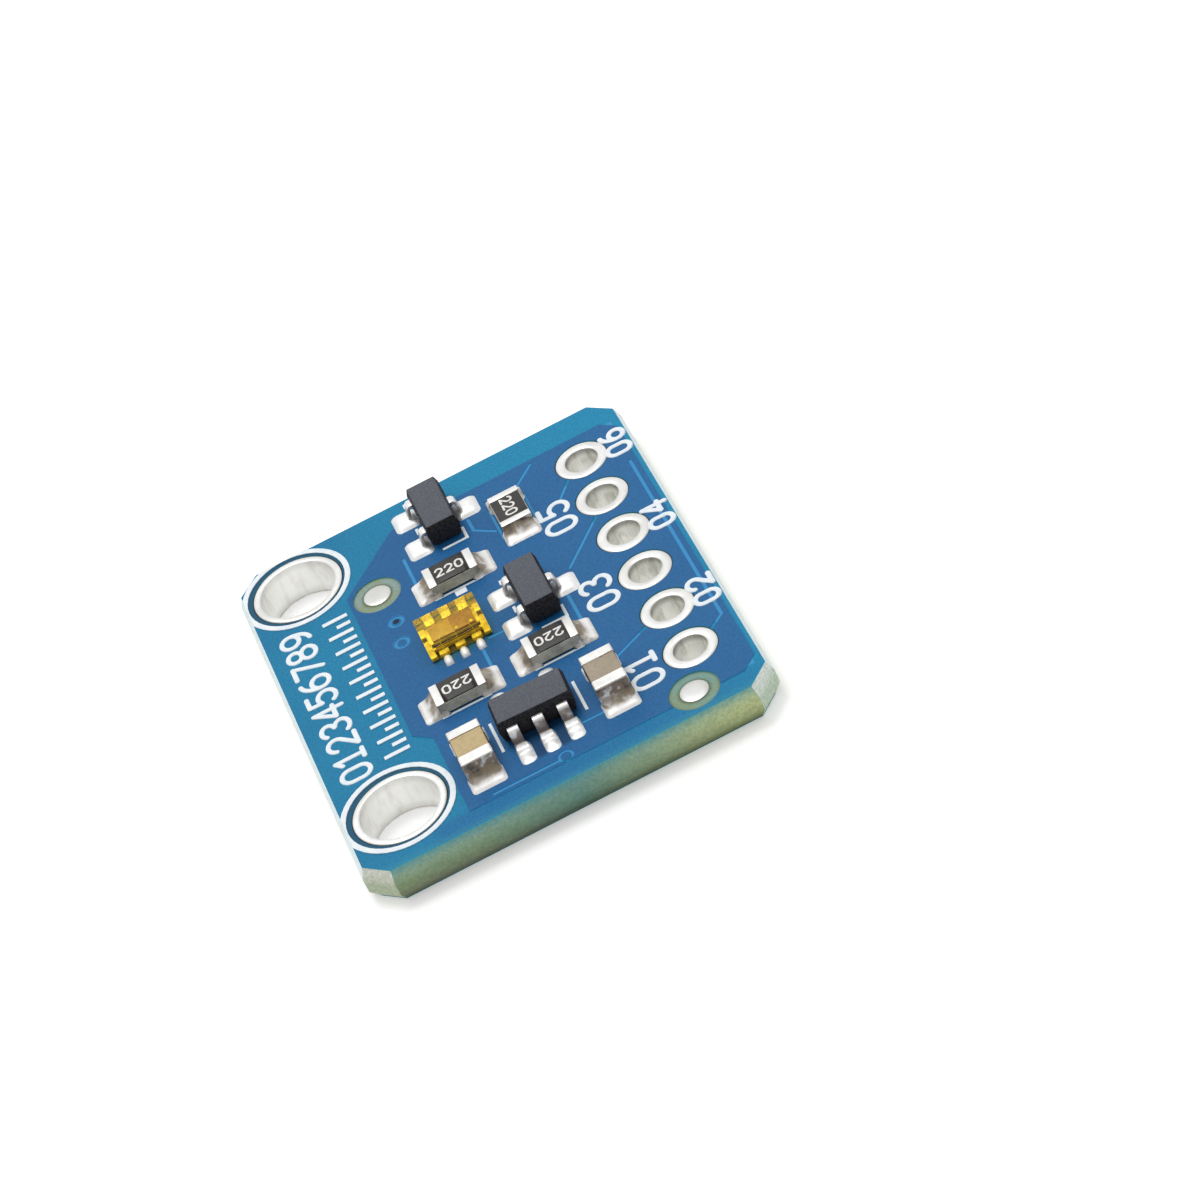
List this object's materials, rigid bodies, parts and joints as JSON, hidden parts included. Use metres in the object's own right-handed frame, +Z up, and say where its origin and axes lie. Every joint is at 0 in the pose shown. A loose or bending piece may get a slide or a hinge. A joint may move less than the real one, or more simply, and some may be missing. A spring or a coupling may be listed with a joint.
{
  "type": "light sensor module",
  "caption": "Small rectangular circuit board with cut corners, a clear amber light sensor in the middle, small surface parts, a row of plated header holes and a pair of mounting holes.",
  "frame": {"origin": "middle of the board's box on the plane it rests on, the undersides of the plated rings", "axes": "+X along the header row, +Y from the header row to the mounting holes, +Z up out of the component side"},
  "size_m": [0.0192, 0.016, 0.0026],
  "materials": {
    "laminate": "scored glass-fibre laminate, olive green and slightly rough",
    "mask": "glossy teal-blue solder mask",
    "mask_over_copper": "glossy deep blue solder mask over copper",
    "print": "thin white epoxy print, slightly translucent",
    "tin": "satin tin on copper, pale and slightly uneven",
    "solder": "bright smooth reflowed solder",
    "lead_metal": "tinned formed leads, satin",
    "mould": "fine-grained black moulding compound",
    "ceramic_grey": "matte pale grey alumina",
    "ceramic_tan": "satin tan fired ceramic",
    "coat": "black glaze over the resistor film",
    "end_metal": "matte plated tin ends",
    "amber": "clear amber epoxy",
    "gold_frame": "gold-plated lead frame",
    "chip": "polished sensor chip with fine fields"
  },
  "bodies": {
    "root": {"board_laminate": "laminate", "solder_mask_top": "mask", "solder_mask_bottom": "mask", "masked_copper": "mask_over_copper", "masked_copper_bottom": "mask_over_copper", "white_print": "print", "mounting_ring_1": "tin", "mounting_ring_2": "tin", "header_ring_1": "tin", "header_ring_2": "tin", "header_ring_3": "tin", "header_ring_4": "tin", "header_ring_5": "tin", "header_ring_6": "tin", "alignment_dot_1": "tin", "alignment_dot_2": "tin", "sensor_package": "amber", "sensor_lead_frame": "gold_frame", "sensor_chip": "chip", "sensor_solder": "solder", "regulator_body": "mould", "regulator_solder": "solder", "regulator_lead_1": "lead_metal", "regulator_lead_2": "lead_metal", "regulator_lead_3": "lead_metal", "regulator_lead_4": "lead_metal", "regulator_lead_5": "lead_metal", "transistor_a_body": "mould", "transistor_a_lead_1": "lead_metal", "transistor_a_lead_2": "lead_metal", "transistor_a_lead_3": "lead_metal", "transistor_a_solder": "solder", "transistor_b_body": "mould", "transistor_b_lead_1": "lead_metal", "transistor_b_lead_2": "lead_metal", "transistor_b_lead_3": "lead_metal", "transistor_b_solder": "solder", "resistor_1_core": "ceramic_grey", "resistor_1_coat": "coat", "resistor_1_ends": "end_metal", "resistor_1_solder": "solder", "resistor_2_core": "ceramic_grey", "resistor_2_coat": "coat", "resistor_2_ends": "end_metal", "resistor_2_solder": "solder", "resistor_3_core": "ceramic_grey", "resistor_3_coat": "coat", "resistor_3_ends": "end_metal", "resistor_3_solder": "solder", "resistor_4_core": "ceramic_grey", "resistor_4_coat": "coat", "resistor_4_ends": "end_metal", "resistor_4_solder": "solder", "capacitor_1_body": "ceramic_tan", "capacitor_1_ends": "end_metal", "capacitor_1_solder": "solder", "capacitor_2_body": "ceramic_tan", "capacitor_2_ends": "end_metal", "capacitor_2_solder": "solder"}
  },
  "joints": []
}
